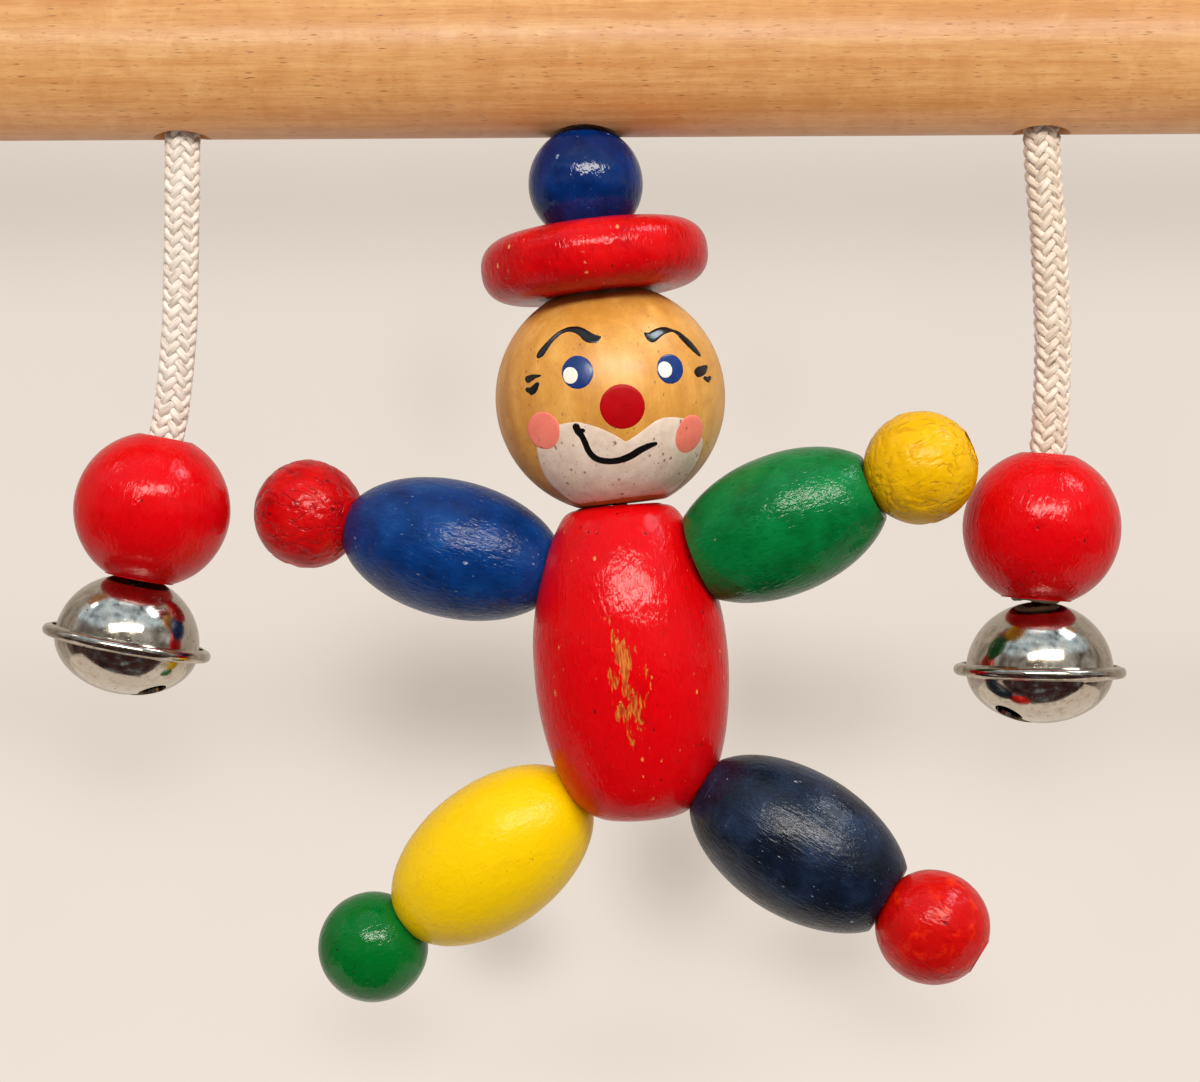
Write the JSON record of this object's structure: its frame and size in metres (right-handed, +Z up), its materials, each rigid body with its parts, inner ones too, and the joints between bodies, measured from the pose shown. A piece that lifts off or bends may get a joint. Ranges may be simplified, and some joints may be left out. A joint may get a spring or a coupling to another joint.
{
  "type": "pram toy bar with bead figure and bells",
  "caption": "Round wooden toy bar for a pram; a jointed bead figure of turned lacquered wood hangs on elastic from its middle, with a bead and jingle bell on a braided cord at each side.",
  "frame": {"origin": "on the bar's axis, above the hole that the figure hangs from", "axes": "+X along the bar to the right as the child sees it, -Y towards the child, +Z up"},
  "size_m": [0.25, 0.0328, 0.1425],
  "materials": {
    "beech": "satin clear lacquer, fine dark flecks",
    "head_wood": "clear gloss lacquer over pale hardwood, painted face",
    "red": "gloss lacquer, worn",
    "blue": "gloss lacquer",
    "navy": "gloss lacquer",
    "green": "gloss lacquer",
    "yellow": "gloss lacquer",
    "cord": "matt braid",
    "elastic": "textile-covered elastic",
    "nickel": "bright nickel plate",
    "steel": "drawn wire"
  },
  "bodies": {
    "root": {"bar": "beech", "hanger_knot": "elastic", "left_cord_anchor": "cord", "right_cord_anchor": "cord"},
    "hanger": {"hanger_elastic": "elastic"},
    "core": {"core_elastic": "elastic"},
    "crown": {"crown_bead": "blue"},
    "brim": {"hat_brim": "red"},
    "head": {"head": "head_wood"},
    "torso": {"torso": "red", "shoulder_elastic": "elastic", "hip_elastic": "elastic"},
    "left_arm_line": {"left_arm_elastic": "elastic"},
    "left_arm": {"left_arm": "blue"},
    "left_hand": {"left_hand": "red"},
    "right_arm_line": {"right_arm_elastic": "elastic"},
    "right_arm": {"right_arm": "green"},
    "right_hand": {"right_hand": "yellow"},
    "left_leg_line": {"left_leg_elastic": "elastic"},
    "left_leg": {"left_leg": "yellow"},
    "left_foot": {"left_foot": "green"},
    "right_leg_line": {"right_leg_elastic": "elastic"},
    "right_leg": {"right_leg": "navy"},
    "right_foot": {"right_foot": "red"},
    "left_pendant": {"left_cord": "cord"},
    "left_bead": {"left_pendant_bead": "red"},
    "left_bell": {"left_bell_upper_shell": "nickel", "left_bell_lower_shell": "nickel", "left_bell_loop": "steel", "left_bell_link": "steel"},
    "left_pellet": {"left_bell_pellet": "steel"},
    "right_pendant": {"right_cord": "cord"},
    "right_bead": {"right_pendant_bead": "red"},
    "right_bell": {"right_bell_upper_shell": "nickel", "right_bell_lower_shell": "nickel", "right_bell_loop": "steel", "right_bell_link": "steel"},
    "right_pellet": {"right_bell_pellet": "steel"}
  },
  "joints": [
    {"name": "figure_bounce", "type": "slide", "parent": "root", "child": "hanger", "axis": [0, 0, -1], "range_m": [0, 0.012], "stiffness_N_per_m": 150, "springref_m": -0.012, "deforming": ["hanger_elastic"]},
    {"name": "figure_sway", "type": "hinge", "parent": "hanger", "child": "core", "pos_m": [0, 0, -0.01842], "axis": [1, 0, 0], "range_deg": [-30, 30]},
    {"name": "crown_spin", "type": "hinge", "parent": "core", "child": "crown", "pos_m": [0, 0, -0.01842], "axis": [-0.1149, 0, 0.9934], "continuous": true},
    {"name": "brim_spin", "type": "hinge", "parent": "core", "child": "brim", "pos_m": [0.00121, 0, -0.02891], "axis": [-0.1149, 0, 0.9934], "continuous": true},
    {"name": "head_spin", "type": "hinge", "parent": "core", "child": "head", "pos_m": [0.00335, 0, -0.04734], "axis": [-0.1149, 0, 0.9934], "continuous": true},
    {"name": "torso_spin", "type": "hinge", "parent": "core", "child": "torso", "pos_m": [0.00614, 0, -0.0831], "axis": [-0.0739, 0, 0.9973], "range_deg": [-140, 140]},
    {"name": "left_arm_lift", "type": "hinge", "parent": "torso", "child": "left_arm_line", "pos_m": [-0.00451, 0.00199, -0.06591], "axis": [0.2073, 0.9781, 0.0154], "range_deg": [0, 20], "stiffness_Nm_per_rad": 0.012, "springref_deg": -20.05},
    {"name": "left_arm_spin", "type": "hinge", "parent": "left_arm_line", "child": "left_arm", "pos_m": [-0.00556, 0.00229, -0.07081], "axis": [-0.9537, 0.1986, 0.2257], "continuous": true},
    {"name": "left_hand_spin", "type": "hinge", "parent": "left_arm_line", "child": "left_hand", "pos_m": [-0.03899, 0.00925, -0.0629], "axis": [-0.9537, 0.1986, 0.2257], "continuous": true},
    {"name": "right_arm_lift", "type": "hinge", "parent": "torso", "child": "right_arm_line", "pos_m": [0.01354, -0.00188, -0.06314], "axis": [-0.2073, -0.9781, -0.0154], "range_deg": [0, 20], "stiffness_Nm_per_rad": 0.012, "springref_deg": -20.05},
    {"name": "right_arm_spin", "type": "hinge", "parent": "right_arm_line", "child": "right_arm", "pos_m": [0.01576, -0.00226, -0.06886], "axis": [0.906, -0.1979, 0.3741], "continuous": true},
    {"name": "right_hand_spin", "type": "hinge", "parent": "right_arm_line", "child": "right_hand", "pos_m": [0.04441, -0.00852, -0.05703], "axis": [0.906, -0.1979, 0.3741], "continuous": true},
    {"name": "left_leg_lift", "type": "hinge", "parent": "torso", "child": "left_leg_line", "pos_m": [-0.00425, 0.00243, -0.0975], "axis": [0.2073, 0.9781, 0.0154], "range_deg": [0, 30], "stiffness_Nm_per_rad": 0.012, "springref_deg": -20.05},
    {"name": "left_leg_spin", "type": "hinge", "parent": "left_leg_line", "child": "left_leg", "pos_m": [-0.00178, 0.00196, -0.10093], "axis": [-0.7749, 0.1738, -0.6078], "continuous": true},
    {"name": "left_foot_spin", "type": "hinge", "parent": "left_leg_line", "child": "left_foot", "pos_m": [-0.02983, 0.00825, -0.12294], "axis": [-0.7749, 0.1738, -0.6078], "continuous": true},
    {"name": "right_leg_lift", "type": "hinge", "parent": "torso", "child": "right_leg_line", "pos_m": [0.01866, -0.00245, -0.09584], "axis": [-0.2073, -0.9781, -0.0154], "range_deg": [0, 28], "stiffness_Nm_per_rad": 0.012, "springref_deg": -20.05},
    {"name": "right_leg_spin", "type": "hinge", "parent": "right_leg_line", "child": "right_leg", "pos_m": [0.01654, -0.00194, -0.09973], "axis": [0.8444, -0.171, -0.5077], "continuous": true},
    {"name": "right_foot_spin", "type": "hinge", "parent": "right_leg_line", "child": "right_foot", "pos_m": [0.04601, -0.00791, -0.11745], "axis": [0.8444, -0.171, -0.5077], "continuous": true},
    {"name": "left_pendant_swing", "type": "hinge", "parent": "root", "child": "left_pendant", "pos_m": [-0.05485, 0, -0.0123], "axis": [-1, 0, 0], "range_deg": [-45, 45]},
    {"name": "left_bead_spin", "type": "hinge", "parent": "left_pendant", "child": "left_bead", "pos_m": [-0.059, 0, -0.06239], "axis": [0.1886, 0, 0.9821], "continuous": true},
    {"name": "left_bell_spin", "type": "hinge", "parent": "left_pendant", "child": "left_bell", "pos_m": [-0.06248, 0, -0.08051], "axis": [0.1886, 0, 0.9821], "continuous": true},
    {"name": "left_pellet_jump", "type": "slide", "parent": "left_bell", "child": "left_pellet", "axis": [0.1886, 0, 0.9821], "range_m": [0, 0.008]},
    {"name": "right_pendant_swing", "type": "hinge", "parent": "root", "child": "right_pendant", "pos_m": [0.06128, 0, -0.0123], "axis": [-1, 0, 0], "range_deg": [-45, 45]},
    {"name": "right_bead_spin", "type": "hinge", "parent": "right_pendant", "child": "right_bead", "pos_m": [0.0613, 0, -0.06492], "axis": [0.0785, 0, 0.9969], "continuous": true},
    {"name": "right_bell_spin", "type": "hinge", "parent": "right_pendant", "child": "right_bell", "pos_m": [0.06101, 0, -0.08412], "axis": [0.0152, 0, 0.9999], "continuous": true},
    {"name": "right_pellet_jump", "type": "slide", "parent": "right_bell", "child": "right_pellet", "axis": [0.0152, 0, 0.9999], "range_m": [0, 0.008]}
  ]
}
